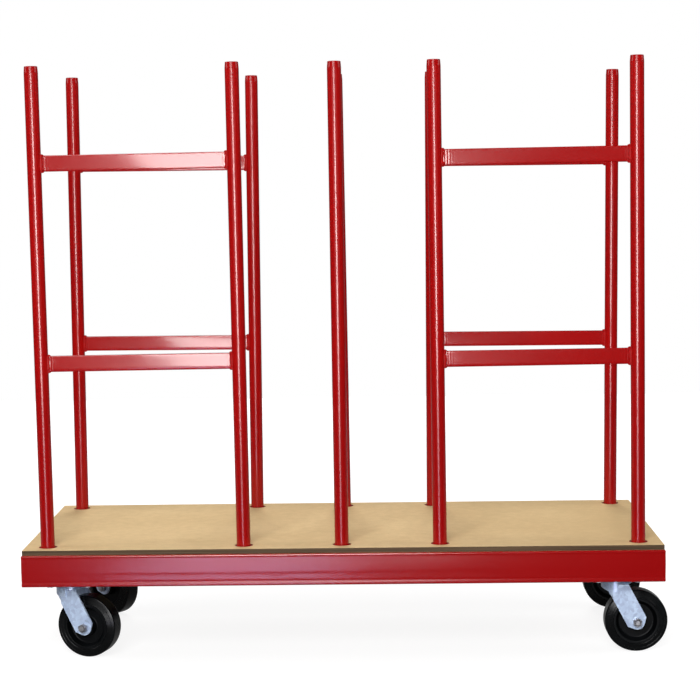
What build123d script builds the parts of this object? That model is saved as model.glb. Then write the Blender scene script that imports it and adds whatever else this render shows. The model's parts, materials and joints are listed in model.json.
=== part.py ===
from build123d import *
import math
import os

# Side panel cart: a wheeled deck with two rows of removable pipe posts that hold sheets and panels on edge.
# Millimetres. The origin is on the floor under the middle of the deck: +X along the deck to the right,
# +Y from the front row of posts to the rear row, +Z up.

# Deck board
deck_length = 1524.0
deck_width = 609.6
deck_thickness = 12.7
deck_edge_break = 0.8

# Frame of formed channel, with its web outwards and its flanges inwards, a little larger than the deck
frame_overhang = 2.5
channel_height = 76.2
channel_flange = 25.4
channel_wall = 4.76
channel_inner_bend = 1.6
pad_thickness = 6.35
pad_margin = 12.7

# Posts of steel pipe, and the pipe sockets that they drop into
post_diameter = 33.4
post_wall = 3.38
post_height_above_deck = 1143.0
post_slack = 0.82
socket_wall = 3.56
socket_recess = 0.5
socket_floor_thickness = 6.35
deck_hole_gap = 1.15
cap_height = 15.0
cap_top_diameter = 31.0
cap_top_round = 1.5
cap_spigot = 12.0
cap_fit = 0.05
end_post_inset = 55.6
ladder_span = 471.5

# Rails welded between the two posts of a ladder frame
rail_height = 38.1
rail_thickness = 9.5
rail_round = 1.0
rail_levels_above_deck = (442.0, 915.9)

# Screws that hold the deck down from below
screw_diameter = 6.35
screw_bite = 9.0
screw_tip_gap = 1.0
screw_fit = 0.05
screw_head_across_flats = 9.5
screw_head_height = 4.0
screw_washer_diameter = 14.3
screw_washer_thickness = 1.2
screws_per_long_side = 6
screws_per_end = 2
screws_per_cross_member = 2

# Casters: top plate, swivel race, fork and wheel
caster_height = 183.0
caster_inset_x = 103.0
caster_inset_y = 80.0
plate_length = 114.3
plate_width = 101.6
plate_thickness = 6.35
plate_corner = 8.0
bolt_spacing_x = 92.08
bolt_spacing_y = 66.68
bolt_diameter = 9.525
bolt_hole_gap = 0.5
bolt_slot_travel = 9.0
bolt_across_flats = 14.29
bolt_head_height = 4.0
bolt_stick_out = 2.0
nut_height = 8.3
nut_to_socket_gap = 2.4
thread_fit = 0.05
race_gap = 6.0
race_radius = 27.0
race_skirt_wall = 4.0
race_skirt_gap = 0.6
ball_diameter = 7.94
ball_fit = 0.05
balls_per_race = 18
kingpin_diameter = 15.88
kingpin_head_diameter = 25.0
kingpin_head_height = 4.5
kingpin_nut_across_flats = 23.8
kingpin_nut_height = 11.0
kingpin_stick_out = 3.0
swivel_fit = 0.05
swivel_end_gap = 0.3
fork_dish_radius = 36.3
fork_wall = 5.0
fork_inner_bend = 3.0
fork_side_gap = 0.4
fork_trail = 45.5
leg_lean = 27.8
leg_width = 49.5
leg_end_radius = 18.5
skirt_drop = 28.0
knee_drop = 34.0

# Wheels, their roller bearings and their axles
wheel_diameter = 150.0
wheel_width = 50.8
tyre_depth = 20.0
tread_width = 38.0
tyre_shoulder = 3.0
tyre_bead = 1.5
hub_length = 57.2
hub_diameter = 43.0
rim_width = 49.0
rim_depth = 6.0
rim_slope = 6.0
web_thickness = 17.0
bearing_diameter = 28.6
bearing_length = 50.0
sleeve_diameter = 19.05
axle_diameter = 12.7
axle_fit = 0.05
axle_across_flats = 19.05
axle_head_height = 8.0
axle_nut_height = 11.0
axle_stick_out = 2.0

# The way each caster trails at rest, in degrees anticlockwise from +X
caster_headings = {"front_left": -16.0, "front_right": 0.0, "rear_left": -35.0, "rear_right": 0.0}

# The way each ladder frame or loose post leans in its slack sockets, in degrees towards +X
post_leans = {"front_left_ladder": -0.30, "front_centre": -0.10, "front_right_ladder": -0.25,
              "rear_left_ladder": 0.26, "rear_centre": -0.35, "rear_right_ladder": 0.28}

# Levels above the floor
frame_bottom = caster_height
frame_top = frame_bottom + channel_height
deck_top = frame_top + deck_thickness
pad_top = frame_bottom + pad_thickness
socket_floor_under = pad_top + nut_height + bolt_stick_out + nut_to_socket_gap
socket_floor_top = socket_floor_under + socket_floor_thickness
post_length = deck_top + post_height_above_deck - socket_floor_top

# Places in plan
post_bore = post_diameter - 2 * post_wall
socket_bore = post_diameter + 2 * post_slack
socket_diameter = socket_bore + 2 * socket_wall
frame_length = deck_length + 2 * frame_overhang
frame_width = deck_width + 2 * frame_overhang
toe_x = frame_length / 2 - channel_flange
toe_y = frame_width / 2 - channel_flange
row_y = toe_y - socket_diameter / 2
outer_post_x = deck_length / 2 - end_post_inset
inner_post_x = outer_post_x - ladder_span
post_columns = (-outer_post_x, -inner_post_x, 0.0, inner_post_x, outer_post_x)
caster_x = deck_length / 2 - caster_inset_x
caster_y = deck_width / 2 - caster_inset_y
sides = {"left": -1, "right": 1}
rows = {"front": -1, "rear": 1}

# Levels and reaches of a caster, measured from its plate's top
crown_top = -plate_thickness - race_gap
crown_under = crown_top - fork_wall
axle_drop = caster_height - wheel_diameter / 2
fork_half_gap = hub_length / 2 + fork_side_gap
fork_half_width = fork_half_gap + fork_wall
ball_level = -plate_thickness - race_gap / 2
tyre_bore = wheel_diameter - 2 * tyre_depth

ON_TOP = (Align.CENTER, Align.CENTER, Align.MIN)
BELOW = (Align.CENTER, Align.CENTER, Align.MAX)


def rod(diameter, length):
    """A round bar standing on z = 0."""
    return Cylinder(diameter / 2, length, align=ON_TOP)


def pipe(outer_diameter, bore, length):
    """A pipe standing on z = 0."""
    return rod(outer_diameter, length) - rod(bore, length)


def hexagon(across_flats, height):
    """A six-sided prism standing on z = 0."""
    return extrude(RegularPolygon(across_flats / 2, 6, major_radius=False), height)


def turned(outline):
    """A solid of revolution about Z, from its half outline drawn with radius along X and height along Y."""
    return revolve(Plane.XZ * outline, Axis.Z)


def spread(count, length):
    """Places of evenly spread pieces along a side, half a pitch in from its ends."""
    return [(index - (count - 1) / 2) * length / count for index in range(count)]


# Frame

def channel_bar(length):
    """A channel along X, standing on z = 0, its web's outer face on y = 0 and its flanges towards +Y."""
    outer = Pos(channel_flange / 2, channel_height / 2) * Rectangle(channel_flange, channel_height)
    outer = fillet(outer.vertices().group_by(Axis.X)[0], channel_inner_bend + channel_wall)
    hollow_place = Pos(channel_wall + channel_flange / 2, channel_height / 2)
    hollow = hollow_place * Rectangle(channel_flange, channel_height - 2 * channel_wall)
    hollow = fillet(hollow.vertices().group_by(Axis.X)[0], channel_inner_bend)
    return extrude(Plane.YZ * (outer - hollow), length / 2, both=True)


def side_channel(length, distance, turn):
    """One side of the frame, mitred at both corners, its web facing -Y before it is turned about Z."""
    half = length / 2
    inner = half - channel_flange
    plan = Polygon((-half, 0), (half, 0), (inner, channel_flange), (-inner, channel_flange), align=None)
    mitred = channel_bar(length) & extrude(plan, channel_height)
    return Rot(0, 0, turn) * Pos(0, -distance, frame_bottom) * mitred


def cross_member(column_x):
    """A channel across the frame, its web against the sockets of one column of posts."""
    turn = 90 if column_x < 0 else -90
    web_x = column_x + math.copysign(socket_diameter / 2, column_x)
    return Pos(web_x, 0, frame_bottom) * Rot(0, 0, turn) * channel_bar(2 * toe_y)


def deck_screw_places():
    """Places of the deck's screws in plan, along the middle of each top flange."""
    flange_middle = (channel_wall + channel_flange) / 2
    places = [(x, side * (frame_width / 2 - flange_middle))
              for side in rows.values() for x in spread(screws_per_long_side, deck_length)]
    places += [(side * (frame_length / 2 - flange_middle), y)
               for side in sides.values() for y in spread(screws_per_end, deck_width)]
    for column_x in post_columns[1:4]:
        screw_x = column_x + math.copysign(socket_diameter / 2 + flange_middle, column_x)
        places += [(screw_x, y) for y in spread(screws_per_cross_member, 2 * toe_y)]
    return places


def deck_screw():
    """A hex washer head screw, point up, with the top of the flange that it clamps at z = 0."""
    head = Pos(0, 0, -channel_wall) * Cylinder(screw_washer_diameter / 2, screw_washer_thickness, align=BELOW)
    hex_level = -channel_wall - screw_washer_thickness - screw_head_height
    head += Pos(0, 0, hex_level) * hexagon(screw_head_across_flats, screw_head_height)
    return head + Pos(0, 0, -channel_wall) * rod(screw_diameter, channel_wall + screw_bite)


def deck_screw_hole():
    """The hole that a deck screw needs in the flange and in the board."""
    depth = channel_wall + screw_bite + screw_tip_gap
    return Pos(0, 0, -channel_wall) * rod(screw_diameter + 2 * screw_fit, depth)


def caster_pad(side):
    """The plate between the flanges of one end of the frame that carries two casters and the end posts."""
    inner_x = caster_x - plate_length / 2 - pad_margin
    plate = Pos((inner_x + toe_x) / 2, 0, 0) * Box(toe_x - inner_x, 2 * toe_y, pad_thickness, align=ON_TOP)
    hole = rod(bolt_diameter + 2 * bolt_hole_gap, pad_thickness)
    for row in rows.values():
        plate -= [Pos(caster_x + x, row * caster_y + y, 0) * hole for x, y in bolt_places()]
    return Pos(0, 0, frame_bottom) * (plate if side > 0 else Rot(0, 0, 180) * plate)


def deck_board():
    """The board, with a hole for each post socket and a pilot hole for each screw."""
    board = Box(deck_length, deck_width, deck_thickness, align=ON_TOP)
    board = chamfer(board.edges(), deck_edge_break)
    hole = rod(socket_diameter + 2 * deck_hole_gap, deck_thickness)
    board -= [Pos(x, side * row_y, 0) * hole for side in rows.values() for x in post_columns]
    board -= [Pos(x, y, 0) * deck_screw_hole() for x, y in deck_screw_places()]
    return Pos(0, 0, frame_top) * board


# Posts

def post_cap():
    """A tapered plug that closes a post, its shoulder on z = 0 and its spigot down the bore."""
    spigot = post_bore / 2 - cap_fit
    half_outline = Polygon((0, -cap_spigot), (spigot, -cap_spigot), (spigot, 0), (post_diameter / 2, 0),
                           (cap_top_diameter / 2, cap_height), (0, cap_height), align=None)
    rim = half_outline.vertices().sort_by(Axis.Y)[-2:].sort_by(Axis.X)[-1]
    return turned(fillet(rim, cap_top_round))


def post_at(x, y):
    """A pipe post standing on the floor of its socket."""
    return Pos(x, y, socket_floor_top) * pipe(post_diameter, post_bore, post_length - cap_height)


def cap_at(x, y):
    """The cap of the post at this place."""
    return Pos(x, y, socket_floor_top + post_length - cap_height) * post_cap()


def leaning(name, left_x, right_x, y):
    """The tilt of a ladder frame or a loose post in its sockets, about the foot's edge that it leans on."""
    lean = post_leans[name]
    edge_x = right_x + post_diameter / 2 if lean > 0 else left_x - post_diameter / 2
    return Pos(edge_x, y, socket_floor_top) * Rot(0, lean, 0) * Pos(-edge_x, -y, -socket_floor_top)


def ladder_rail(side, y, level):
    """A flat bar from post to post of a ladder frame, its ends hollowed to fit round the pipes."""
    bar = Box(ladder_span, rail_thickness, rail_height)
    bar = fillet(bar.edges().filter_by(Axis.X), rail_round)
    post = Cylinder(post_diameter / 2, rail_height)
    bar -= [Pos(end * ladder_span / 2, 0, 0) * post for end in sides.values()]
    return Pos(side * (outer_post_x + inner_post_x) / 2, y, deck_top + level) * bar


# Casters, each made with its swivel axis on Z, its plate's top on z = 0 and its wheel trailing along +X

def bolt_places():
    """Places of a caster's four bolts in plan, from its swivel axis."""
    return [(x * bolt_spacing_x / 2, y * bolt_spacing_y / 2) for x in (-1, 1) for y in (-1, 1)]


def ball_groove():
    """The ring that the swivel balls run in."""
    return Pos(0, 0, ball_level) * Torus(race_radius, ball_diameter / 2 + ball_fit)


def caster_plate():
    """The top plate, with its slotted bolt holes and the ring that shrouds the balls."""
    plate = extrude(RectangleRounded(plate_length, plate_width, plate_corner), -plate_thickness)
    shroud_height = race_gap - race_skirt_gap
    shroud = pipe(2 * fork_dish_radius, 2 * (fork_dish_radius - race_skirt_wall), shroud_height)
    plate += Pos(0, 0, -plate_thickness - shroud_height) * shroud
    slot = extrude(SlotCenterToCenter(bolt_slot_travel, bolt_diameter + 2 * bolt_hole_gap), -plate_thickness)
    for x, y in bolt_places():
        plate -= Pos(x - math.copysign(bolt_slot_travel / 2, x), y, 0) * slot
    return plate - ball_groove() - kingpin()


def kingpin():
    """The pin that holds plate and fork together, its head flush with the plate's top."""
    length = -crown_under + swivel_end_gap + kingpin_nut_height + kingpin_stick_out
    shank = kingpin_diameter / 2
    return turned(Polygon((0, 0), (0, -length), (shank, -length), (shank, -kingpin_head_height),
                          (kingpin_head_diameter / 2, 0), align=None))


def kingpin_nut():
    """The nut under the fork's crown, with a running gap above it."""
    nut = hexagon(kingpin_nut_across_flats, kingpin_nut_height)
    nut -= rod(kingpin_diameter + 2 * thread_fit, kingpin_nut_height)
    return Pos(0, 0, crown_under - swivel_end_gap - kingpin_nut_height) * nut


def swivel_balls():
    """The balls of one swivel race."""
    ball = Pos(race_radius, 0, ball_level) * Sphere(ball_diameter / 2)
    return [Rot(0, 0, index * 360 / balls_per_race) * ball for index in range(balls_per_race)]


def leg_outline():
    """The fork from the side: crown, slanting legs with shoulders, and a round end about the axle."""
    lean = math.radians(leg_lean)
    across = Vector(math.cos(lean), math.sin(lean))
    upward = Vector(-math.sin(lean), math.cos(lean))
    axle = Vector(fork_trail, -axle_drop)
    half = leg_width / 2
    right, left = axle + across * half, axle - across * half
    touch = math.acos(leg_end_radius / half)
    down = upward * (-leg_end_radius * math.sin(touch))
    right_touch = axle + across * (leg_end_radius * math.cos(touch)) + down
    left_touch = axle - across * (leg_end_radius * math.cos(touch)) + down
    right_top = right + upward * ((crown_top - right.Y) / upward.Y)
    knee = left + upward * ((-knee_drop - left.Y) / upward.Y)
    corners = [right_top, (-fork_dish_radius, crown_top), (-fork_dish_radius, -skirt_drop), knee, left,
               left_touch, right_touch, right]
    return Polygon(*corners, align=None) + Pos(axle.X, axle.Y) * Circle(leg_end_radius)


def fork():
    """A pressed fork: a round crown with a skirt behind, and two slanting legs bent down from it."""
    reach = fork_trail + leg_width
    depth = axle_drop + leg_end_radius
    outer = Pos(0, crown_top - depth / 2) * Rectangle(2 * fork_half_width, depth)
    outer = fillet(outer.vertices().group_by(Axis.Y)[-1], fork_inner_bend + fork_wall)
    inner = Pos(0, crown_under - depth / 2) * Rectangle(2 * fork_half_gap, depth)
    inner = fillet(inner.vertices().group_by(Axis.Y)[-1], fork_inner_bend)
    strap = extrude(Plane.YZ * (outer - inner), reach, both=True)
    plan = Cylinder(fork_dish_radius, 2 * depth)
    plan += Pos(reach / 2, 0, 0) * Box(reach, 2 * fork_half_width, 2 * depth)
    back = Pos(0, 0, -knee_drop) * pipe(2 * fork_dish_radius, 2 * (fork_dish_radius - fork_wall), knee_drop)
    back &= Pos(-reach / 2, 0, 0) * Box(reach, 2 * fork_half_width, 2 * depth)
    side = extrude(Plane.XZ * leg_outline(), 2 * fork_half_width, both=True)
    crown = Pos(0, 0, crown_top) * Cylinder(fork_dish_radius, fork_wall, align=BELOW)
    shape = ((strap & plan) + back) & side
    shape += crown
    shape -= Cylinder(kingpin_diameter / 2 + swivel_fit, 4 * knee_drop)
    shape -= across_fork(Cylinder(axle_diameter / 2 + axle_fit, 4 * fork_half_width))
    return shape - ball_groove()


def across_fork(piece):
    """Lays a piece that was made along Z on the axle's line, its top towards the front at rest."""
    return Pos(fork_trail, 0, -axle_drop) * Rot(90, 0, 0) * piece


def axle():
    """The axle bolt, its nut towards the front at rest, and the sleeve that spaces the legs."""
    shank_length = 2 * fork_half_width + axle_nut_height + axle_stick_out
    bolt = Pos(0, 0, fork_half_width) * hexagon(axle_across_flats, axle_head_height)
    bolt += Pos(0, 0, fork_half_width - shank_length) * rod(axle_diameter, shank_length)
    loose = axle_diameter + 2 * axle_fit
    nut = hexagon(axle_across_flats, axle_nut_height) - rod(loose, axle_nut_height)
    nut = Pos(0, 0, -fork_half_width - axle_nut_height) * nut
    sleeve = Pos(0, 0, -fork_half_gap) * pipe(sleeve_diameter, loose, 2 * fork_half_gap)
    return [across_fork(Rot(180, 0, 0) * piece) for piece in (bolt, nut, sleeve)]


def wheel_bearing():
    """The roller cartridge pressed into the hub, running on the axle's sleeve."""
    bore = sleeve_diameter + 2 * axle_fit
    return across_fork(Pos(0, 0, -bearing_length / 2) * pipe(bearing_diameter, bore, bearing_length))


def wheel_core():
    """The hub, the thin web and the rim that the tyre is moulded on."""
    rim = tyre_bore / 2
    rim_foot = rim - rim_depth - rim_slope
    hub = hub_diameter / 2
    half = [(hub, hub_length / 2), (hub, web_thickness / 2), (rim_foot, web_thickness / 2),
            (rim - rim_depth, rim_width / 2), (rim, rim_width / 2)]
    mirrored = [(radius, -level) for radius, level in reversed(half)]
    bore = [(bearing_diameter / 2, -hub_length / 2), (bearing_diameter / 2, hub_length / 2)]
    return across_fork(turned(Polygon(*half, *mirrored, *bore, align=None)))


def tyre():
    """The tyre: sidewalls that slope in to the tread, round shoulders and small beads against the rim."""
    bore, tread = tyre_bore / 2, wheel_diameter / 2
    outline = Polygon((bore, -wheel_width / 2), (tread, -tread_width / 2), (tread, tread_width / 2),
                      (bore, wheel_width / 2), align=None)
    outline = fillet(outline.vertices().group_by(Axis.X)[-1], tyre_shoulder)
    outline = chamfer(outline.vertices().group_by(Axis.X)[0], tyre_bead)
    return across_fork(turned(outline))


def caster_bolt():
    """A bolt from below through plate and pad."""
    length = plate_thickness + pad_thickness + nut_height + bolt_stick_out
    head = Pos(0, 0, -bolt_head_height) * hexagon(bolt_across_flats, bolt_head_height)
    return Pos(0, 0, -plate_thickness) * (head + rod(bolt_diameter, length))


def caster_nut():
    """The nut of a caster bolt, welded on the pad under the end posts' sockets."""
    nut = hexagon(bolt_across_flats, nut_height) - rod(bolt_diameter + 2 * thread_fit, nut_height)
    return Pos(0, 0, pad_thickness) * nut


# Every piece by name, in place

pieces = {}

channels = {
    "front_channel": side_channel(frame_length, frame_width / 2, 0),
    "rear_channel": side_channel(frame_length, frame_width / 2, 180),
    "left_end_channel": side_channel(frame_width, frame_length / 2, -90),
    "right_end_channel": side_channel(frame_width, frame_length / 2, 90),
}
screw_holes = [Pos(x, y, frame_top) * deck_screw_hole() for x, y in deck_screw_places()]
for name, channel in channels.items():
    pieces[name] = [channel - screw_holes]
pieces["cross_members"] = [cross_member(x) - screw_holes for x in post_columns[1:4]]
for name, side in sides.items():
    pieces[f"{name}_caster_pad"] = [caster_pad(side)]
post_places = [(x, side * row_y) for side in rows.values() for x in post_columns]
socket_length = deck_top - socket_recess - socket_floor_top
pieces["post_sockets"] = [Pos(x, y, socket_floor_top) * pipe(socket_diameter, socket_bore, socket_length)
                          for x, y in post_places]
pieces["socket_floors"] = [Pos(x, y, socket_floor_under) * rod(socket_diameter, socket_floor_thickness)
                           for x, y in post_places]
pieces["deck_board"] = [deck_board()]
pieces["deck_screws"] = [Pos(x, y, frame_top) * deck_screw() for x, y in deck_screw_places()]

for row, row_side in rows.items():
    y = row_side * row_y
    tilt = leaning(f"{row}_centre", 0, 0, y)
    pieces[f"{row}_centre_post"] = [tilt * post_at(0, y)]
    pieces[f"{row}_centre_cap"] = [tilt * cap_at(0, y)]
    for name, side in sides.items():
        ladder = f"{row}_{name}_ladder"
        outer_x, inner_x = side * outer_post_x, side * inner_post_x
        tilt = leaning(ladder, min(outer_x, inner_x), max(outer_x, inner_x), y)
        pieces[f"{ladder}_outer_post"] = [tilt * post_at(outer_x, y)]
        pieces[f"{ladder}_inner_post"] = [tilt * post_at(inner_x, y)]
        pieces[f"{ladder}_rails"] = [tilt * ladder_rail(side, y, level) for level in rail_levels_above_deck]
        pieces[f"{ladder}_caps"] = [tilt * cap_at(outer_x, y), tilt * cap_at(inner_x, y)]

fixings = {"caster_bolts": [], "caster_nuts": [], "kingpins": [], "swivel_balls": []}
for row, row_side in rows.items():
    for name, side in sides.items():
        corner = f"{row}_{name}"
        seat = Pos(side * caster_x, row_side * caster_y, frame_bottom)
        swivel = seat * Rot(0, 0, caster_headings[corner])
        pieces[f"{corner}_caster_plate"] = [seat * caster_plate()]
        pieces[f"{corner}_fork"] = [swivel * fork()]
        pieces[f"{corner}_axle"] = [swivel * piece for piece in axle()]
        pieces[f"{corner}_wheel_bearing"] = [swivel * wheel_bearing()]
        pieces[f"{corner}_wheel_core"] = [swivel * wheel_core()]
        pieces[f"{corner}_tyre"] = [swivel * tyre()]
        fixings["caster_bolts"] += [seat * Pos(x, y, 0) * caster_bolt() for x, y in bolt_places()]
        fixings["caster_nuts"] += [seat * Pos(x, y, 0) * caster_nut() for x, y in bolt_places()]
        fixings["kingpins"] += [seat * kingpin(), seat * kingpin_nut()]
        fixings["swivel_balls"] += [seat * ball for ball in swivel_balls()]
pieces.update(fixings)

os.makedirs("parts", exist_ok=True)
for name, solids in pieces.items():
    shape = solids[0] if len(solids) == 1 else Compound(children=solids)
    export_step(shape, f"parts/{name}.step")
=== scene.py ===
# %% [markdown]
# # A side panel cart
# A red steel platform on four casters, with a fibreboard deck and two rows of pipe posts that hold panels on
# edge. The exact model is loaded first. It stays where it is and fixes every size, and each step after that
# either gives one of its parts a finish or puts a finer skin in its place.

# %% The exact model
import json
import bmesh
import bpy
import numpy as np
from mathutils import Matrix, Vector


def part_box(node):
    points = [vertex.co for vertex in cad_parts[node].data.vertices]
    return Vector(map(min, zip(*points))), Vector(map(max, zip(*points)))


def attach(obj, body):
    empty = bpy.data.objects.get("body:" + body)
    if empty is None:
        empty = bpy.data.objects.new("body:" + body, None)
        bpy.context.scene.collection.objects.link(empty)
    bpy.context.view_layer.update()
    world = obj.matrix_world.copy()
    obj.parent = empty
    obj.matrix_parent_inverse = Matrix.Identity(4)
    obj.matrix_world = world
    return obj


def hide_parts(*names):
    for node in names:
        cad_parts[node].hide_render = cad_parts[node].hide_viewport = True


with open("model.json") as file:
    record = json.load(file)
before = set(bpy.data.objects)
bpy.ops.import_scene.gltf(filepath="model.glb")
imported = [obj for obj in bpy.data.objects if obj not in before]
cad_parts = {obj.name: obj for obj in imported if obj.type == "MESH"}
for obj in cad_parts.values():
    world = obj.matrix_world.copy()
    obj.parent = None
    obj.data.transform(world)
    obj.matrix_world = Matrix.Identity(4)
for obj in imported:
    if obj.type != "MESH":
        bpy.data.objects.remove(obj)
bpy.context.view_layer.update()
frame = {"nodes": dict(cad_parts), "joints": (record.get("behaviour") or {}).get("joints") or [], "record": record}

# %% [markdown]
# ## The camera
# The photograph was measured first: where the posts, the deck's corners and the rails fall in it. One place, one
# aim and one focal length explain them all. A camera could be aimed by hand until it looks right, but the
# measured numbers can be used as they are. The three axes of the view are worked out as a rotation matrix, and
# the lens is shifted a little because the photograph was cropped off centre.

# %% Camera at the photograph's place
picture = 700.0
focal_length = 1824.2
centre_across, centre_down = 319.8, 365.9
camera_place = (0.0823, -4.5614, 1.1363)
tip, swing, roll = 0.100791, 0.029825, -0.015725


def turn(angle, first, second):
    """A turn in the plane of two axes: cosines on the diagonal, and sines of opposite sign off it."""
    matrix = np.eye(3)
    matrix[first, first] = matrix[second, second] = np.cos(angle)
    matrix[first, second], matrix[second, first] = -np.sin(angle), np.sin(angle)
    return matrix


level_view = np.array([[1, 0, 0], [0, 0, -1], [0, 1, 0]])
right, down, forward = turn(roll, 0, 1) @ turn(tip, 1, 2) @ turn(swing, 2, 0) @ level_view
camera = bpy.data.objects.new("camera", bpy.data.cameras.new("camera"))
bpy.context.scene.collection.objects.link(camera)
axes = Matrix(np.stack([right, -down, -forward], axis=1).tolist()).to_4x4()
camera.matrix_world = Matrix.Translation(camera_place) @ axes
camera.data.sensor_width = 36.0
camera.data.lens = 36.0 * focal_length / picture
camera.data.shift_x = (picture / 2 - centre_across) / picture
camera.data.shift_y = (centre_down - picture / 2) / picture
bpy.context.scene.camera = camera
print("lens", round(camera.data.lens, 2), "mm")

# %% [markdown]
# ## Shader arithmetic
# A material is a graph of nodes. Adding each node by hand hides the idea, so one small class stands for a
# socket: adding or multiplying two of them adds the Math node that does it, and one method adds any other node.

# %% A socket that can be reckoned with
class Wire:
    """A socket in a tree of shader nodes. Arithmetic on it adds Math nodes."""

    def __init__(self, tree, socket=None):
        self.tree, self.socket = tree, socket

    def add(self, kind, inputs=(), outlet=0, **settings):
        """Adds a node: its settings first, then a value or a wire for each of its sockets."""
        node = self.tree.nodes.new(kind)
        for name, value in settings.items():
            setattr(node, name, value)
        for name, value in dict(inputs).items():
            if isinstance(value, Wire):
                self.tree.links.new(value.socket, node.inputs[name])
            else:
                node.inputs[name].default_value = value
        return Wire(self.tree, node.outputs[outlet] if node.outputs else None)

    def math(self, operation, *values):
        return self.add("ShaderNodeMath", enumerate(values), operation=operation)

    def __add__(self, other):
        return self.math("ADD", self, other)

    def __mul__(self, other):
        return self.math("MULTIPLY", self, other)

    def __sub__(self, other):
        return self.math("SUBTRACT", self, other)

    def __rsub__(self, other):
        return self.math("SUBTRACT", other, self)

    __radd__, __rmul__ = __add__, __mul__

    def rise(self, low, high):
        """0 below the low value, 1 above the high one, and a smooth step between."""
        ends = {"Value": self, "From Min": low, "From Max": high}
        return self.add("ShaderNodeMapRange", ends, interpolation_type="SMOOTHSTEP")

    def blend(self, low, high):
        """A colour between two colours, this wire saying how far."""
        return self.add("ShaderNodeMix", {0: self, 6: low, 7: high}, outlet=2, data_type="RGBA")

    def stretched(self, x, y, z):
        """This vector with each of its parts multiplied by a number."""
        return self.add("ShaderNodeVectorMath", {0: self, 1: (x, y, z)}, operation="MULTIPLY")

    def noise(self, scale, detail=2.0, roughness=0.5):
        """Smooth random values around one half, with this many lumps to the metre."""
        sockets = {"Vector": self, "Scale": scale, "Detail": detail, "Roughness": roughness}
        return self.add("ShaderNodeTexNoise", sockets)

    def bumped(self, strength, distance):
        """The normal of a surface whose height in metres is this wire times the distance."""
        return self.add("ShaderNodeBump", {"Strength": strength, "Distance": distance, "Height": self})


print("shader arithmetic ready")

# %% [markdown]
# ## Studio: backdrop, floor and lamps
# The cart stands on white. A white room could light it from all sides, but it would also show in the paint and
# make it milky. So the world is white where the camera looks straight at it, a fifth of that where a reflection
# meets it behind the cart, and dim where it only lights the cart. The floor is grey underneath, which keeps it
# from throwing much light up, and gives off light of its own where the camera looks at it. That lifts it to white
# and leaves the cart's shadow on it.

# %% World and floor
def rgb(red, green, blue):
    return (red, green, blue, 1.0)


world = bpy.data.worlds.new("studio")
bpy.context.scene.world = world
world.use_nodes = True
world.node_tree.nodes.clear()
start = Wire(world.node_tree)
seen = start.add("ShaderNodeLightPath", outlet="Is Camera Ray")
mirrored = start.add("ShaderNodeLightPath", outlet="Is Glossy Ray")
through = start.add("ShaderNodeLightPath", outlet="Is Transmission Ray")
heading = start.add("ShaderNodeTexCoord", outlet="Generated")
behind = start.add("ShaderNodeSeparateXYZ", {"Vector": heading}, outlet="Y").rise(0.2, 0.95)
shown = start.math("MINIMUM", seen + mirrored * behind * 0.2 + through, 1.0)
hidden = 1.0 - start.math("MINIMUM", seen + mirrored + through, 1.0)
backdrop = start.add("ShaderNodeBackground", {"Color": rgb(1, 1, 1), "Strength": shown + 0.14 * hidden})
start.add("ShaderNodeOutputWorld", {"Surface": backdrop})

floor_mesh = bpy.data.meshes.new("floor")
floor_mesh.from_pydata([(-4, -0.8, 0), (4, -0.8, 0), (4, 5, 0), (-4, 5, 0)], [], [(0, 1, 2, 3)])
floor = bpy.data.objects.new("floor", floor_mesh)
bpy.context.scene.collection.objects.link(floor)
floor_paint = bpy.data.materials.new("studio_floor")
floor_paint.use_nodes = True
floor_paint.node_tree.nodes.clear()
start = Wire(floor_paint.node_tree)
looked_at = start.add("ShaderNodeLightPath", outlet="Is Camera Ray")
looked_at = looked_at + 0.2 * start.add("ShaderNodeLightPath", outlet="Is Glossy Ray")
looked_at = looked_at + start.add("ShaderNodeLightPath", outlet="Is Transmission Ray")
pale = start.add("ShaderNodeBsdfDiffuse", {"Color": rgb(0.25, 0.25, 0.25)})
spot = start.add("ShaderNodeTexCoord", outlet="Object").stretched(0.75, 1.0, 1.0)
far = start.add("ShaderNodeVectorMath", {0: spot}, outlet="Value", operation="LENGTH").rise(0.4, 1.3)
lift = start.add("ShaderNodeEmission", {"Color": rgb(1, 1, 1), "Strength": (0.85 + 0.15 * far) * looked_at})
start.add("ShaderNodeOutputMaterial", {"Surface": start.add("ShaderNodeAddShader", {0: pale, 1: lift})})
floor_mesh.materials.append(floor_paint)

# %% [markdown]
# The photograph's narrow highlights on the posts all point back to one lamp behind the camera and a little to
# its left, and their soft shoulders to two dim glows beside it. The pink sheen on the front channel points to
# that lamp and the room mirrored in a shiny floor, so two weaker, cooler lamps stand where those mirror images
# are. Only reflections see these five. Large soft lamps in front, behind and at both sides light the surfaces
# themselves, and the cart can be looked at from anywhere.

# %% Lamps
def lamp(name, place, aim, width, height, brightness, colour=(1, 1, 1)):
    """A soft lamp. Its watts are the brightness of its face times its area times pi."""
    light = bpy.data.lights.new(name, "AREA")
    light.shape, light.size, light.size_y = "RECTANGLE", width, height
    light.energy = brightness * width * height * np.pi
    light.color = colour
    holder = bpy.data.objects.new(name, light)
    bpy.context.scene.collection.objects.link(holder)
    holder.location = place
    holder.rotation_mode = "QUATERNION"
    holder.rotation_quaternion = (Vector(aim) - Vector(place)).to_track_quat("-Z", "Y")
    return holder


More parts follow.
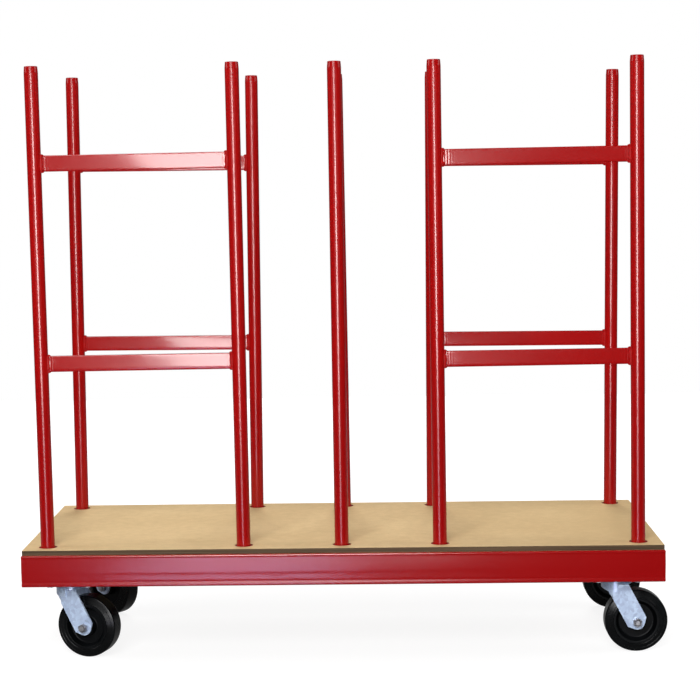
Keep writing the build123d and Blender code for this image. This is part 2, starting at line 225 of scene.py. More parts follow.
key = lamp("key", (-0.37, -5.0, 0.945), (-0.1, 0, 0.9), 1.40, 1.57, 36.0)
glow_left = lamp("glow_left", (-2.8, -5.0, 1.25), (-0.1, 0, 0.9), 2.0, 1.5, 1.6)
glow_right = lamp("glow_right", (2.7, -5.0, 1.25), (-0.1, 0, 0.9), 2.0, 1.5, 1.0)
mirror_key = lamp("mirror_key", (-0.3, -5.0, -0.20), (-0.1, 0, 0.4), 1.5, 0.72, 8.0, (0.95, 0.93, 1.0))
mirror_room = lamp("mirror_room", (-0.64, -5.0, -0.75), (-0.1, 0, 0.2), 1.04, 0.26, 23.0, (0.62, 0.62, 1.0))
lamp("front_left", (-1.0, -5.4, 3.6), (0, 0, 0.6), 2.7, 2.7, 10.8)
front_fill = lamp("front_fill", (0.6, -5.0, 1.9), (0, 0, 0.6), 2.4, 0.9, 8.5)
rear = lamp("rear", (0.0, 5.2, 3.8), (0, 0, 0.6), 2.7, 2.7, 9.0)
lamp("left_side", (-5.2, -0.3, 3.2), (0, 0, 0.6), 2.2, 2.2, 4.5)
lamp("right_side", (5.2, -0.3, 3.2), (0, 0, 0.6), 2.2, 2.2, 3.5)
for helper in (key, glow_left, glow_right, mirror_key, mirror_room):
    helper.visible_diffuse = False
    helper.visible_camera = False
front_fill.visible_glossy = rear.visible_glossy = False

# %% [markdown]
# ## Finishes
# Nine finishes cover the cart, four of them kinds of the same red enamel. Each reads Object coordinates, which
# are metres in the cart's own frame, so a pattern keeps its real scale and stays put when a part moves.

# %% How a finish is put together
def finish(name, recipe):
    """A material with one Principled shader, whose sockets the recipe works out from Object coordinates."""
    material = bpy.data.materials.new(name)
    material.use_nodes = True
    material.node_tree.nodes.clear()
    origin = Wire(material.node_tree)
    place = origin.add("ShaderNodeTexCoord", outlet="Object")
    shader = origin.add("ShaderNodeBsdfPrincipled", recipe(place))
    origin.add("ShaderNodeOutputMaterial", {"Surface": shader})
    return material


# %% [markdown]
# Red enamel, sprayed on bare steel. Its depth comes from a dark, saturated red under a gloss that is not quite
# even: broad clouds where the coat is thicker, and gentle waves about a finger wide that bend a highlight. A
# painted shade darkens the red slowly towards the floor. A painted picture of highlights would stay put when the
# cart turns, so the gloss is left to the shader. On rolled channel fine level streaks show through. Flat bars
# have a clear coat over a duller one, so a reflection has a sharp edge and a soft glow. Over welds the coat is
# rough and dull.

# %% Red enamel
def red_enamel(place, rolled=0.0, roughness=0.17, mirror=0.27, coat=0.0):
    clouds = place.noise(3.0, 3.0)
    grain = place.noise(120.0, 3.0)
    height = place.add("ShaderNodeSeparateXYZ", {"Vector": place}, outlet="Z")
    # Clouds and grain are the enamel's own uneven tone. The height term is a painted shade that darkens the red
    # towards the floor.
    tone_and_painted_shade = clouds.rise(0.3, 0.7) * 0.3 + grain * 0.2 + height.rise(0.22, 0.8) * 0.5
    streaks = place.stretched(0.12, 0.12, 300.0).noise(1.0, 3.0, 0.6)
    peel = 3.5 * place.noise(60.0, 0.0) + rolled * streaks
    return {
        "Base Color": tone_and_painted_shade.blend(rgb(0.33, 0.0028, 0.0036), rgb(0.44, 0.0036, 0.0034)),
        "Roughness": roughness + 0.06 * grain + rolled * 0.05 * streaks,
        "Specular IOR Level": mirror,
        "Coat Weight": coat,
        "Coat Roughness": 0.08,
        "Normal": peel.bumped(0.05, 0.0006),
    }


def rolled_enamel(place):
    return red_enamel(place, rolled=1.0, roughness=0.11, mirror=0.25)


def bar_enamel(place):
    return red_enamel(place, roughness=0.17, mirror=0.10, coat=0.34)


def weld_enamel(place):
    return red_enamel(place, roughness=0.42, mirror=0.06)


enamel = finish("red_enamel", red_enamel)
rolled = finish("rolled_enamel", rolled_enamel)
bar = finish("bar_enamel", bar_enamel)
weld = finish("weld_enamel", weld_enamel)

# %% [markdown]
# Fibreboard: its pressed faces are tan and softly mottled with short fibres, and the sawn edge is darker and
# shows the board's layers as fine level lines. Two materials could share the board out, but its mesh stays as it
# is, so one material does both by height: pressed at the very top and bottom, sawn between them. A painted shade
# makes the board a little darker towards its right end.

# %% Fibreboard
deck_low, deck_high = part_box("deck_board")


def fibreboard(place):
    height = place.add("ShaderNodeSeparateXYZ", {"Vector": place}, outlet="Z")
    pressed = height.rise(deck_high.z - 0.0007, deck_high.z - 0.0003)
    pressed = pressed + 1.0 - height.rise(deck_low.z + 0.0003, deck_low.z + 0.0007)
    clouds = place.noise(4.0, 4.0, 0.6).rise(0.3, 0.7)
    mottle = place.noise(45.0, 4.0, 0.6)
    fibre = place.stretched(1.0, 3.0, 1.0).noise(260.0, 3.0, 0.7)
    along = place.add("ShaderNodeSeparateXYZ", {"Vector": place}, outlet="X")
    # The last term is a painted shade: it darkens the pressed face towards the board's right end.
    tone = clouds * 0.14 + mottle * 0.43 + fibre * 0.43 - 0.16 * along.rise(0.1, 0.7)
    face = tone.rise(0.2, 0.8).blend(rgb(0.68, 0.49, 0.25), rgb(0.86, 0.645, 0.355))
    layers = place.stretched(2.0, 2.0, 420.0).noise(1.0, 3.0, 0.6)
    sawn = layers.rise(0.3, 0.7).blend(rgb(0.060, 0.036, 0.018), rgb(0.150, 0.092, 0.050))
    return {
        "Base Color": pressed.blend(sawn, face),
        "Roughness": 0.55 + 0.25 * mottle,
        "Specular IOR Level": 0.1,
        "Normal": (fibre * pressed + layers * (1.0 - pressed)).bumped(0.25, 0.0004),
    }


board = finish("fibreboard", fibreboard)

# %% [markdown]
# Zinc on the pressed casters: a cool, pale metal with crystals of uneven brightness and a soft, dull shine.
# Plain steel on the bolts is darker. The wheels are black: a moulded rubber tyre on a cast core.

# %% Zinc, steel, casting and rubber
def zinc_plate(place):
    flakes = place.add("ShaderNodeTexVoronoi", {"Vector": place, "Scale": 120.0}, outlet="Color")
    flake = flakes.add("ShaderNodeSeparateColor", {"Color": flakes})
    clouds = place.noise(35.0, 4.0, 0.6)
    tone = flake * 0.35 + clouds * 0.65
    return {
        "Base Color": tone.rise(0.2, 0.8).blend(rgb(0.43, 0.53, 0.74), rgb(0.64, 0.78, 1.0)),
        "Metallic": 0.15,
        "Roughness": 0.24 + 0.14 * tone,
        "Normal": (flake + clouds).bumped(0.15, 0.0004),
    }


def plain_steel(place):
    rub = place.noise(300.0, 3.0)
    grime = place.noise(60.0, 3.0).rise(0.35, 0.7)
    return {
        "Base Color": grime.blend(rgb(0.20, 0.20, 0.22), rgb(0.36, 0.36, 0.38)),
        "Metallic": 0.9,
        "Roughness": 0.28 + 0.20 * rub,
        "Normal": rub.bumped(0.15, 0.0003),
    }


def black_casting(place):
    sand = place.noise(320.0, 3.0, 0.6)
    dust = place.noise(18.0, 3.0).rise(0.4, 0.75)
    return {
        "Base Color": dust.blend(rgb(0.0020, 0.0024, 0.0028), rgb(0.0045, 0.0052, 0.0060)),
        "Roughness": 0.30 + 0.2 * sand,
        "Specular IOR Level": 0.07,
        "Normal": sand.bumped(0.2, 0.0005),
    }


def black_rubber(place):
    skin = place.noise(700.0, 2.0)
    dust = place.noise(14.0, 4.0, 0.6).rise(0.4, 0.8)
    return {
        "Base Color": dust.blend(rgb(0.0020, 0.0024, 0.0028), rgb(0.0050, 0.0058, 0.0066)),
        "Roughness": 0.20 + 0.14 * dust,
        "Specular IOR Level": 0.12,
        "Normal": skin.bumped(0.12, 0.0003),
    }


zinc = finish("zinc_plate", zinc_plate)
steel = finish("plain_steel", plain_steel)
casting = finish("black_casting", black_casting)
rubber = finish("black_rubber", black_rubber)
finishes = {"red_paint": enamel, "deck_board": board, "zinc_steel": zinc, "bolt_steel": steel,
            "wheel_core": casting, "tyre": rubber}
print("finishes:", [item.name for item in finishes.values()])

# %% [markdown]
# Every part of the exact model takes its finish from the slot that the record gives it. Parts that a finer skin
# replaces later are hidden then.

# %% Finishes on the exact model
slots = {entry["node"]: entry["material_slot"] for entry in frame["record"]["subparts"]}
for name, node in frame["nodes"].items():
    for holder in node.material_slots:
        holder.material = finishes[slots[name]]
print("finished parts:", len(slots))

# %% [markdown]
# ## Surfaces as grids
# The skins are worked out with numpy: a grid of points from a formula with two parameters, or a section carried
# along a path. A grid's faces are found once from its rows and columns. Rows that shrink to a point become poles
# when double points are merged, and the faces are then turned outwards. Smooth shading averages the faces that
# meet at a point, which would bend the reflection in a long flat wall beside a narrow edge. A Weighted Normal
# modifier gives the large faces the say.

# %% Grids, eased corners and pieces
def grid(points, around=False, closed=False):
    """A shell from an array of rows of points: around joins each row's ends, and closed joins the last row to
    the first."""
    points = np.asarray(points, float)
    rows, columns = points.shape[:2]
    index = np.arange(rows * columns).reshape(rows, columns)
    if around:
        index = np.concatenate([index, index[:, :1]], axis=1)
    if closed:
        index = np.concatenate([index, index[:1]], axis=0)
    corners = index[:-1, :-1], index[:-1, 1:], index[1:, 1:], index[1:, :-1]
    return points.reshape(-1, 3), np.stack(corners, axis=-1).reshape(-1, 4).tolist()


def capped(points):
    """A shell from rows that each go round: the first and last row are closed with a flat face."""
    place, faces = grid(points, around=True)
    columns = np.shape(points)[1]
    ends = np.arange(columns), np.arange(len(place) - columns, len(place))
    return place, faces + [ends[0].tolist(), ends[1].tolist()]


def eased(corners, radius, steps=5):
    """A closed outline with each corner swapped for a curve that leaves it this far along both of its sides."""
    corners = np.asarray(corners, float)
    reach = np.broadcast_to(np.asarray(radius, float), len(corners))[:, None]
    back, ahead = np.roll(corners, 1, 0) - corners, np.roll(corners, -1, 0) - corners
    first = corners + back / np.linalg.norm(back, axis=1)[:, None] * reach
    last = corners + ahead / np.linalg.norm(ahead, axis=1)[:, None] * reach
    t = np.linspace(0, 1, steps)[None, :, None]
    curve = (1 - t) ** 2 * first[:, None] + 2 * t * (1 - t) * corners[:, None] + t ** 2 * last[:, None]
    return curve.reshape(-1, corners.shape[1])


def turned(outline, centre, axis, around=64):
    """Each outline point (radius, level) swung about the axis: centre + level along it + radius across it."""
    axis = np.asarray(axis, float) / np.linalg.norm(axis)
    side = np.cross(axis, [0.0, 0.0, 1.0] if abs(axis[2]) < 0.9 else [1.0, 0.0, 0.0])
    side /= np.linalg.norm(side)
    angle = np.arange(around) * 2 * np.pi / around
    spoke = np.cos(angle)[:, None] * side + np.sin(angle)[:, None] * np.cross(axis, side)
    radius, level = np.asarray(outline, float).T
    return np.asarray(centre) + level[:, None, None] * axis + radius[:, None, None] * spoke[None]


def make_piece(name, shells, body, slot, stands_for=(), sharp=38.0, bevel=0.0):
    """Puts shells into one mesh, merges double points, turns faces outwards and hands the piece to its body."""
    starts = np.cumsum([0] + [len(points) for points, _ in shells])
    points = np.concatenate([points for points, _ in shells])
    faces = [[corner + first for corner in face] for (_, group), first in zip(shells, starts) for face in group]
    mesh = bpy.data.meshes.new(name)
    mesh.from_pydata(points.tolist(), [], faces)
    work = bmesh.new()
    work.from_mesh(mesh)
    bmesh.ops.remove_doubles(work, verts=work.verts, dist=2e-6)
    bmesh.ops.recalc_face_normals(work, faces=work.faces)
    work.to_mesh(mesh)
    work.free()
    mesh.shade_smooth()
    mesh.set_sharp_from_angle(angle=np.radians(sharp))
    mesh.materials.append(finishes[slot])
    piece = bpy.data.objects.new(name, mesh)
    bpy.context.scene.collection.objects.link(piece)
    if bevel:
        edge = piece.modifiers.new("soft_edges", "BEVEL")
        edge.width, edge.segments, edge.limit_method, edge.angle_limit = bevel, 2, "ANGLE", np.radians(40)
        edge.harden_normals = True
    shading = piece.modifiers.new("flat_shading", "WEIGHTED_NORMAL")
    shading.keep_sharp = True
    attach(piece, body)
    if stands_for:
        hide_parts(*stands_for)
    return piece


mm = 0.001
print("grid tools ready")

# %% [markdown]
# ## The channel frame
# Four lengths of formed channel make the frame, mitred at the corners. Forming leaves shallow steps along the
# web, which show as light and dark lines in its sheen. They could be drawn with a bump, but they are forms, so
# they belong to the section: an outline with eased bends, and smooth steps in its web. It is carried along the
# side, and each point stops short by its depth, which makes the mitre by itself.

# %% Channels
channel_height, channel_flange, channel_wall = 76.2 * mm, 25.4 * mm, 4.76 * mm
inner_bend, outer_bend, lip_bend, bend_steps = 1.6 * mm, 3.6 * mm, 0.8 * mm, 6
web_steps = [(71, 0.7, 0.45), (60, 9, -0.45), (31, 2, 0.22), (13.5, 1.2, 0.24), (8.8, 1.1, -0.45)]


def channel_section():
    """Depth behind the web's face and height, all the way round: flanges, the inside, and the web with its steps.
    A step is a depth divided by one plus an exponential of the height above its level over its width."""
    up = np.linspace(4 * mm, channel_height - 4 * mm, 80)
    hollow = sum(depth * mm / (1 + np.exp((up / mm - level) / width)) for level, width, depth in web_steps)
    face = np.stack([hollow, up], axis=1)
    corners = [(channel_flange, channel_height), (channel_flange, channel_height - channel_wall),
               (channel_wall, channel_height - channel_wall), (channel_wall, channel_wall),
               (channel_flange, channel_wall), (channel_flange, 0), (0, 0), (0, channel_height)]
    bends = [lip_bend, lip_bend, inner_bend, inner_bend, lip_bend, lip_bend, outer_bend, outer_bend]
    ring = eased(corners, bends, bend_steps)
    web_starts = 7 * bend_steps
    return np.concatenate([ring[:web_starts], face, ring[web_starts:]])


def channel(name, length, place, inward, along):
    """The section carried along one side of the frame, each point's run cut back by its depth for the mitre."""
    depth, height = channel_section().T
    run = np.linspace(-1, 1, 40)[:, None] * (length / 2 - depth)[None]
    points = (np.asarray(place) + run[..., None] * np.asarray(along)
              + depth[None, :, None] * np.asarray(inward) + height[None, :, None] * np.array([0, 0, 1.0]))
    piece = make_piece(f"{name}_skin", [capped(points)], "base", "red_paint", [name])
    piece.data.materials[0] = rolled


low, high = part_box("front_channel")
frame_bottom, half_width, half_length = low.z, -low.y, high.x
channel("front_channel", 2 * half_length, (0, -half_width, frame_bottom), (0, 1, 0), (1, 0, 0))
channel("rear_channel", 2 * half_length, (0, half_width, frame_bottom), (0, -1, 0), (1, 0, 0))
channel("left_end_channel", 2 * half_width, (-half_length, 0, frame_bottom), (1, 0, 0), (0, 1, 0))
channel("right_end_channel", 2 * half_width, (half_length, 0, frame_bottom), (-1, 0, 0), (0, 1, 0))
print("channel section points:", len(channel_section()))

# %% [markdown]
# ## Posts, caps and sockets
# Pipe posts are turned shapes: an outline of radius against height swung about the post's axis. A cylinder from
# the menu would do for the wall, but not for the bore and its eased rims. The caps taper a little and have a
# rounded rim, and the sockets are short pipes whose rims show round each post. The posts stand loose, and the
# leans are those that the photograph shows.

# %% Posts, caps and sockets
post_radius, post_bore, post_height = 16.7 * mm, 13.32 * mm, 1143 * mm
cap_height, cap_top, cap_spigot = 15 * mm, 15.5 * mm, 12 * mm
outer_x, inner_x = 706.4 * mm, 234.9 * mm
socket_low, socket_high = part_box("post_sockets")
socket_radius, socket_bore = 21.08 * mm, 17.52 * mm
row_y = {"front": socket_low.y + socket_radius, "rear": socket_high.y - socket_radius}
foot, post_top = socket_low.z, deck_high.z + post_height
stands = {f"{row}_{name}": places for row in row_y for name, places in (
    ("left_ladder", (-outer_x, -inner_x)), ("centre", (0.0,)), ("right_ladder", (inner_x, outer_x)))}
leans = {"front_left_ladder": -0.30, "front_centre": -0.10, "front_right_ladder": -0.25,
         "rear_left_ladder": 0.26, "rear_centre": -0.35, "rear_right_ladder": 0.28}
upright = (0, 0, 1)


def leaned(body, points):
    """Points turned about the foot's edge that the frame or post leans on: x grows with height times the sine."""
    angle = np.radians(leans[body])
    edge = stands[body][-1] + post_radius if angle > 0 else stands[body][0] - post_radius
    x, y, z = np.moveaxis(np.asarray(points) - [edge, 0, foot], -1, 0)
    over, upwards = x * np.cos(angle) + z * np.sin(angle), z * np.cos(angle) - x * np.sin(angle)
    return np.stack([over, y, upwards], axis=-1) + [edge, 0, foot]


def post_shell(x, y):
    """A pipe: outer wall up, over the rim, and down the bore."""
    shoulder = post_top - cap_height
    wall = [(post_radius, foot), (post_radius, shoulder), (post_bore, shoulder), (post_bore, foot)]
    return turned(eased(wall, 0.4 * mm, 3), (x, y, 0), upright, 72)


def cap_shell(x, y):
    """A tapered plug with a rounded rim and a faint crown, from its spigot up to its top."""
    spigot = post_bore - 0.05 * mm
    rim = eased([(0, 0), (post_radius, 0), (cap_top, cap_height), (0, cap_height)],
                [0, 0.5 * mm, 1.7 * mm, 0], 7)
    outline = np.concatenate([[(0, -cap_spigot), (spigot, -cap_spigot), (spigot, 0)], rim[7:]])
    return turned(outline + [0, post_top - cap_height], (x, y, 0), upright, 64)


for body, places in stands.items():
    y = row_y[body.split("_")[0]]
    names = [f"{body}_post"] if len(places) == 1 else [f"{body}_outer_post", f"{body}_inner_post"]
    for name, x in zip(names, sorted(places, key=abs, reverse=True)):
        pipe = leaned(body, post_shell(x, y))
        make_piece(f"{name}_skin", [grid(pipe, around=True, closed=True)], body, "red_paint", [name])
    caps = f"{body}_cap" if len(places) == 1 else f"{body}_caps"
    tops = [grid(leaned(body, cap_shell(x, y)), around=True) for x in places]
    make_piece(f"{caps}_skin", tops, body, "red_paint", [caps], sharp=50.0)

# %% Sockets
low, high = socket_low.z, socket_high.z
socket_outline = eased([(socket_radius, low), (socket_radius, high), (socket_bore, high), (socket_bore, low)],
                       [0.3 * mm, 0.9 * mm, 0.9 * mm, 0.3 * mm], 5)
shells = [grid(turned(socket_outline, (x, row_y[body.split("_")[0]], 0), upright, 64), around=True, closed=True)
          for body, places in stands.items() for x in places]
make_piece("post_sockets_skin", shells, "base", "red_paint", ["post_sockets"])
print("posts stand at", stands["front_left_ladder"], stands["front_centre"], stands["front_right_ladder"])

# %% [markdown]
# ## Rails and their welds
# Each ladder frame has two flat bars welded between its posts. The heat of welding has drawn the bars' ends into
# faint waves, which show as upright streaks in the highlight, so the section is pushed out and in near both ends
# as it is carried along. Each bar is also twisted by less than a degree, so the lamp's reflection covers only a
# part of it. A weld could be left as a bare seam, but a real bead is a wavy tube that follows the bar's outline
# on the round post.

# %% Rails
rail_height, rail_thickness, rail_levels = 38.1 * mm, 9.5 * mm, (442.0 * mm, 915.9 * mm)
bottom_fall, top_fall, most_twist = 0.9 * mm, 0.15 * mm, np.radians(0.8)
ripple, ripple_reach, ripple_length = 0.10 * mm, 17 * mm, 6.6 * mm
pull, pull_reach = 0.10 * mm, 9 * mm
bead_size, bead_swell, bead_stand_off = 3.4 * mm, 0.30, 0.6 * mm


def rail_shell(left_x, right_x, y, z, seed):
    """A bar whose faces curve away towards both edges, its ends hollowed to the post's radius. It is twisted a
    little, and ripples that die out push its faces in and out near the ends."""
    half_thick, half_high = rail_thickness / 2, rail_height / 2
    up = np.linspace(-half_high + 1.2 * mm, half_high - 1.2 * mm, 40)
    near_bottom = np.maximum(0, -up / half_high - 0.55) / 0.45
    near_top = np.maximum(0, up / half_high - 0.8) / 0.2
    fall = bottom_fall * near_bottom ** 2 + top_fall * near_top
    front, back = np.stack([fall - half_thick, up], axis=1), np.stack([half_thick - fall, up], axis=1)[::-1]
    outline = np.concatenate([front, [(0.6 * mm - half_thick, half_high), (half_thick - 0.6 * mm, half_high)],
                              back, [(half_thick - 1.8 * mm, -half_high), (1.8 * mm - half_thick, -half_high)]])
    cope = np.sqrt(post_radius ** 2 - outline[:, 0] ** 2) - 0.4 * mm
    along = np.linspace(0, 1, 400)[:, None]
    x = (left_x + cope) * (1 - along) + (right_x - cope) * along
    from_end = np.minimum(x - left_x, right_x - x) - post_radius
    dying = np.exp(-(from_end / ripple_reach) ** 2)
    wave = ripple * dying * np.sin(2 * np.pi * from_end / ripple_length + seed)
    wave = wave + pull * np.exp(-from_end / pull_reach)
    twist = most_twist * np.sin(2.2 * np.pi * along + 1.07 * seed - 4.0)
    across, up = outline[:, 0][None] * np.ones_like(x), outline[:, 1][None] * np.ones_like(x)
    points = np.stack([x, y + across * np.cos(twist) - up * np.sin(twist) + wave,
                       z + up * np.cos(twist) + across * np.sin(twist)], axis=-1)
    return capped(points)


def weld_shell(post_x, toward, y, z, seed):
    """A tube round a boxy loop on the post: its radius swells and shrinks along the loop, as beads of weld do."""
    loop = np.linspace(0, 2 * np.pi, 180, endpoint=False)
    swell = np.sin(23 * loop + seed) + 0.6 * np.sin(11 * loop + 2 * seed) + 0.5 * np.sin(5 * loop + 3 * seed)

    def boxy(wave, half):
        return half * np.sign(wave) * np.abs(wave) ** 0.3

    side = boxy(np.cos(loop), rail_thickness / 2 + bead_stand_off)
    rise = boxy(np.sin(loop), rail_height / 2 + bead_stand_off)
    base = np.stack([post_x + toward * np.sqrt(post_radius ** 2 - side ** 2), y + side, z + rise], axis=-1)
    outward = np.stack([0 * loop, side / rail_thickness, rise / rail_height], axis=-1)
    outward /= np.linalg.norm(outward, axis=1)[:, None]
    along_rail = np.array([toward, 0, 0]) + 0 * outward
    round_tube = np.linspace(0, 2 * np.pi, 14, endpoint=False)[None, :, None]
    size = (bead_size * (1 + bead_swell * swell / 2.1))[:, None, None]
    points = base[:, None] + size * (0.75 * np.cos(round_tube) * outward[:, None]
                                     + 1.6 * np.sin(round_tube) * along_rail[:, None])
    return grid(points, around=True, closed=True)


seed = 0.0
for body, places in stands.items():
    if len(places) == 1:
        continue
    y = row_y[body.split("_")[0]]
    bars, beads = [], []
    for level in rail_levels:
        seed += 1.7
        z = deck_high.z + level
        bars.append(rail_shell(*places, y, z, seed))
        beads += [weld_shell(places[0], 1, y, z, seed), weld_shell(places[1], -1, y, z, seed + 0.9)]
    bars, beads = ([(leaned(body, points), faces) for points, faces in group] for group in (bars, beads))
    make_piece(f"{body}_rails_skin", bars, body, "red_paint", [f"{body}_rails"]).data.materials[0] = bar
    make_piece(f"{body}_welds", beads, body, "red_paint", sharp=80.0).data.materials[0] = weld
print("rails and welds made for four ladder frames")

# %% [markdown]
# ## Casters
# A caster is a pressed fork on a swivel, with a wheel on an axle bolt. Everything is worked out in the caster's
# own frame, with its swivel axis at the origin and its wheel trailing along x, and then turned and moved to where
# the joints say the caster is.

# %% A caster's own frame
joints = {joint["name"]: joint for joint in frame["joints"]}
corners = [f"{row}_{side}" for row in ("front", "rear") for side in ("left", "right")]


def in_place(corner, points):
    """Points in a caster's own frame, turned by the way its wheel trails and moved to its swivel axis."""
    pivot = np.array(joints[f"{corner}_swivel_turn"]["pos_m"])
    trail = np.array(joints[f"{corner}_wheel_spin"]["pos_m"]) - pivot
    along = np.array([trail[0], trail[1], 0]) / np.hypot(trail[0], trail[1])
    across = np.array([-along[1], along[0], 0])
    points = np.asarray(points)
    return pivot + points[..., :1] * along + points[..., 1:2] * across + points[..., 2:] * np.array([0, 0, 1.0])


pivot = joints["front_right_swivel_turn"]["pos_m"]
hub = joints["front_right_wheel_spin"]["pos_m"]
trail, drop = hub[0] - pivot[0], pivot[2] - hub[2]
print("trail", round(trail, 4), "axle below plate", round(drop, 4))

# %% [markdown]
# The fork is one strip of steel bent to a U. Across the U, a path goes up one leg, over the crown and down the
# other, and at each point of that path the strip reaches from its back edge to its front edge, as the leg's
# outline says. An outer and an inner path one wall apart make it solid, and a round crown and a curved skirt
# close it behind.

# %% Fork
crown, fork_wall, fork_half, dish = -12.35 * mm, 5.0 * mm, 34.0 * mm, 36.3 * mm
lean = np.radians(27.8)
leg_half, leg_end = 24.75 * mm, 18.5 * mm


def leg_edges(height):
    """Back and front edge of the leg at a height, read off its outline: an arc about the axle, a short straight
    run that leaves the arc at a tangent, and a slanting side."""
    across, upward = np.array([np.cos(lean), np.sin(lean)]), np.array([-np.sin(lean), np.cos(lean)])
    axle = np.array([trail, -drop])
    touch = leg_end / leg_half
    dip = upward * (-leg_end * np.sqrt(1 - touch ** 2))
    edges = []
    for side in (-1, 1):
        leaving = side * across * leg_end * touch + dip
        sweep = np.linspace(-np.pi / 2, np.arctan2(leaving[1], leaving[0]), 24)
        arc = axle + leg_end * np.stack([np.cos(sweep), np.sin(sweep)], axis=1)
        shoulder = axle + side * across * leg_half
        path = np.concatenate([arc, [shoulder, shoulder + upward * 0.2]])
        edges.append(np.interp(height, path[:, 1], path[:, 0]))
    return edges


def strap_path(half, top, bend):
    """Across the U: up one leg from its tip, round a bend, over the crown, and down the other leg."""
    tip = -drop - leg_end
    climb = tip + (top - bend - tip) * (1 - np.cos(np.linspace(0, np.pi / 2, 60)))
    turn_angle = np.linspace(0, np.pi / 2, 9)[1:-1]
    arc = np.stack([-half + bend - bend * np.cos(turn_angle), top - bend + bend * np.sin(turn_angle)], axis=1)
    left = np.concatenate([np.stack([np.full_like(climb, -half), climb], axis=1), arc])
    over = np.stack([np.linspace(-half + bend, half - bend, 21), np.full(21, top)], axis=1)
    return np.concatenate([left, over, (left * [-1, 1])[::-1]])


def strap_sheet(path):
    """The strip along the path: each row runs from the leg's back edge, or the round dish, to its front."""
    side, height = path.T
    back, front = leg_edges(height)
    back = np.maximum(back, -np.sqrt(np.maximum(dish ** 2 - side ** 2, 0)))
    share = np.linspace(0, 1, 25)[None]
    x = back[:, None] * (1 - share) + front[:, None] * share
    return np.stack([x, side[:, None] + 0 * x, height[:, None] + 0 * x], axis=-1)


def fork_shells():
    """The strap from its outer and inner sheets, the skirt as a bent wall round half the dish, and the crown."""
    outer = strap_sheet(strap_path(fork_half, crown, 8 * mm))
    inner = strap_sheet(strap_path(fork_half - fork_wall, crown - fork_wall, 3 * mm))
    strap = grid(np.concatenate([outer, inner[:, ::-1]], axis=1), around=True)
    angle = np.radians(np.linspace(88, 272, 61))
    ring = np.stack([np.cos(angle), np.sin(angle)], axis=1)
    bottom = np.interp(dish * ring[:, 0], [-dish, -21.5 * mm, 0], [-28 * mm, -34 * mm, -34 * mm])
    levels = np.stack([np.full_like(bottom, crown), bottom, bottom, np.full_like(bottom, crown)], axis=1)
    reach = np.array([dish, dish, dish - fork_wall, dish - fork_wall])
    skirt = np.concatenate([ring[:, None] * reach[None, :, None], levels[..., None]], axis=-1)
    disc = eased([(0, crown), (dish, crown), (dish, crown - fork_wall), (0, crown - fork_wall)],
                 [0, 2.5 * mm, 0.5 * mm, 0], 6)
    return strap, capped(skirt), grid(turned(disc, (0, 0, 0), upright, 72), around=True)


for corner in corners:
    shells = [(in_place(corner, points), faces) for points, faces in fork_shells()]
    make_piece(f"{corner}_fork_skin", shells, f"{corner}_swivel", "zinc_steel", [f"{corner}_fork"],
               bevel=0.7 * mm)
print("forks made")

# %% [markdown]
# Bolt heads and nuts are turned shapes too, with a radius that follows a hexagon: the distance to a flat, divided
# by the cosine of the angle from that flat's middle, and never more than a cone allows at the chamfered ends.

# %% Axle bolts
def hex_shell(flat_to_flat, low, high, centre, axis, mouth=0.0):
    """A hexagon between two levels on an axis, its corners rounded off by a cone. A mouth sinks its face."""
    apothem = flat_to_flat / 2
    angle = np.arange(96) * 2 * np.pi / 96
    hexagon = apothem / np.cos((angle + np.pi / 6) % (np.pi / 3) - np.pi / 6)
    level = np.array([low, low, low + 1.2 * mm, high - 1.2 * mm, high, high, high - mouth, high - mouth])
    cone = apothem * np.array([0.0, 0.96, 1.2, 1.2, 0.95, 0.87, 0.69, 0.0])
    radius = np.minimum(hexagon[None], cone[:, None])
    spokes = turned(np.stack([np.ones(len(level)), level], axis=1), centre, axis, 96)
    spine = np.asarray(centre) + level[:, None] * np.asarray(axis)
    return grid(spine[:, None] + (spokes - spine[:, None]) * radius[..., None], around=True)


hex_width, bolt_radius, thread_pitch, thread_depth = 19.05 * mm, 6.35 * mm, 1.95 * mm, 0.35 * mm
head_height, nut_height, bolt_end = 8 * mm, 11 * mm, 13 * mm
sleeve_radius, sleeve_bore = 9.52 * mm, 6.4 * mm

for corner in corners:
    spin = joints[f"{corner}_wheel_spin"]
    axis = -np.array(spin["axis"], float)
    centre = np.array(spin["pos_m"])
    outer, gap = fork_half, fork_half - fork_wall
    head = hex_shell(hex_width, outer, outer + head_height, centre, -axis)
    nut = hex_shell(hex_width, outer, outer + nut_height, centre, axis, 1.8 * mm)
    thread = np.linspace(outer, outer + 12.2 * mm, 90)
    groove = bolt_radius - thread_depth * (0.5 + 0.5 * np.cos(2 * np.pi * thread / thread_pitch))
    shank = np.concatenate([[(0, -outer), (bolt_radius, -outer)], np.stack([groove, thread], axis=1),
                            [(5.4 * mm, outer + bolt_end), (0, outer + bolt_end)]])
    sleeve = eased([(sleeve_radius, -gap), (sleeve_radius, gap), (sleeve_bore, gap), (sleeve_bore, -gap)],
                   0.3 * mm, 3)
    shells = [head, nut, grid(turned(shank, centre, axis, 40), around=True),
              grid(turned(sleeve, centre, axis, 48), around=True, closed=True)]
    make_piece(f"{corner}_axle_skin", shells, f"{corner}_swivel", "bolt_steel", [f"{corner}_axle"], sharp=28.0)
print("axle bolts made")

# %% [markdown]
# The wheel is a tyre moulded on a core. Both are turned from an outline of the exact model's sizes, with the
# steps that a mould leaves: a flat tread, round shoulders, a ridge on the sidewall, and a rim that slopes in to
# the web and the hub.

# %% Wheels
wheel_radius, tyre_bore, half_tyre, half_tread = 75 * mm, 55 * mm, 25.4 * mm, 19 * mm
half_rim, half_web, half_hub, hub_bore = 24.5 * mm, 8.5 * mm, 28.6 * mm, 14.3 * mm


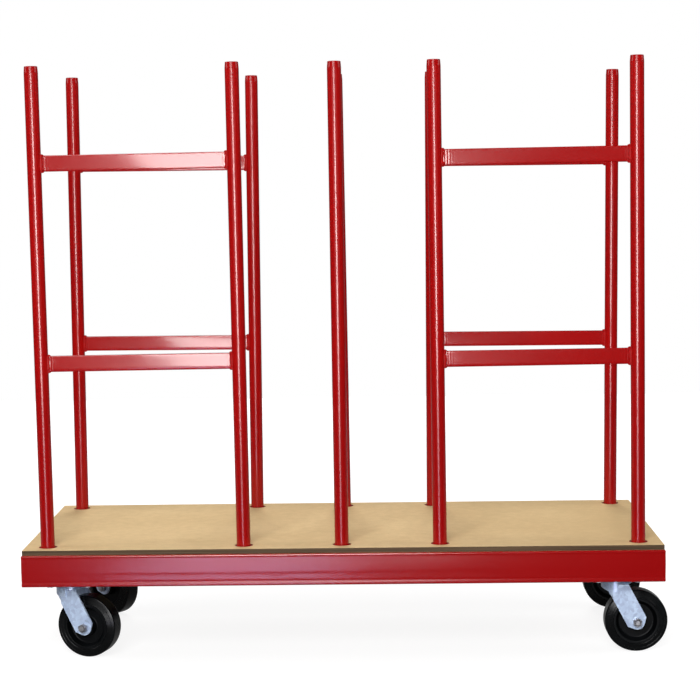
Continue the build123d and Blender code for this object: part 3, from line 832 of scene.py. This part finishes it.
def tyre_shell(centre, axis):
    """Tread, round shoulder, a sidewall that slopes out to the bead with two moulded steps, then the other."""
    slope = (half_tyre - half_tread) / (wheel_radius - tyre_bore)

    def wall(radius, sunk=0.0):
        return radius, half_tyre - (radius - tyre_bore) * slope - sunk

    half = np.array([(wheel_radius, 0), (wheel_radius, half_tread),
                     wall(67 * mm), wall(66.4 * mm, 0.5 * mm), wall(59.4 * mm, 0.5 * mm), wall(58.8 * mm),
                     wall(56.5 * mm), (tyre_bore, half_tyre - 1.6 * mm)])
    outline = np.concatenate([half, half[:0:-1] * [1, -1]])
    soft = np.array([0, 3, 0.25, 0.25, 0.25, 0.25, 0.6, 0.3]) * mm
    outline = eased(outline, np.concatenate([soft, soft[:0:-1]]), 6)
    return grid(turned(outline, centre, axis, 128), around=True, closed=True)


def core_shell(centre, axis):
    """Rim lip, sloping rim, flat web, hub and its bore, mirrored about the middle of the wheel."""
    half = np.array([(tyre_bore, half_rim), (tyre_bore - 6 * mm, half_rim), (tyre_bore - 12 * mm, half_web),
                     (22.5 * mm, half_web), (21.5 * mm, half_hub), (hub_bore, half_hub)])
    outline = np.concatenate([half, half[::-1] * [1, -1]])
    soft = np.array([0.4, 1.5, 3.0, 3.0, 1.2, 0.6]) * mm
    outline = eased(outline, np.concatenate([soft, soft[::-1]]), 6)
    return grid(turned(outline, centre, axis, 112), around=True, closed=True)


for corner in corners:
    spin = joints[f"{corner}_wheel_spin"]
    centre, axis = np.array(spin["pos_m"]), np.array(spin["axis"], float)
    make_piece(f"{corner}_tyre_skin", [tyre_shell(centre, axis)], f"{corner}_wheel", "tyre", [f"{corner}_tyre"])
    make_piece(f"{corner}_wheel_core_skin", [core_shell(centre, axis)], f"{corner}_wheel", "wheel_core",
               [f"{corner}_wheel_core"])
print("wheels made")

# %% [markdown]
# ## Colour management
# Standard view keeps each colour about as it is written.

# %% View
bpy.context.scene.view_settings.view_transform = "Standard"
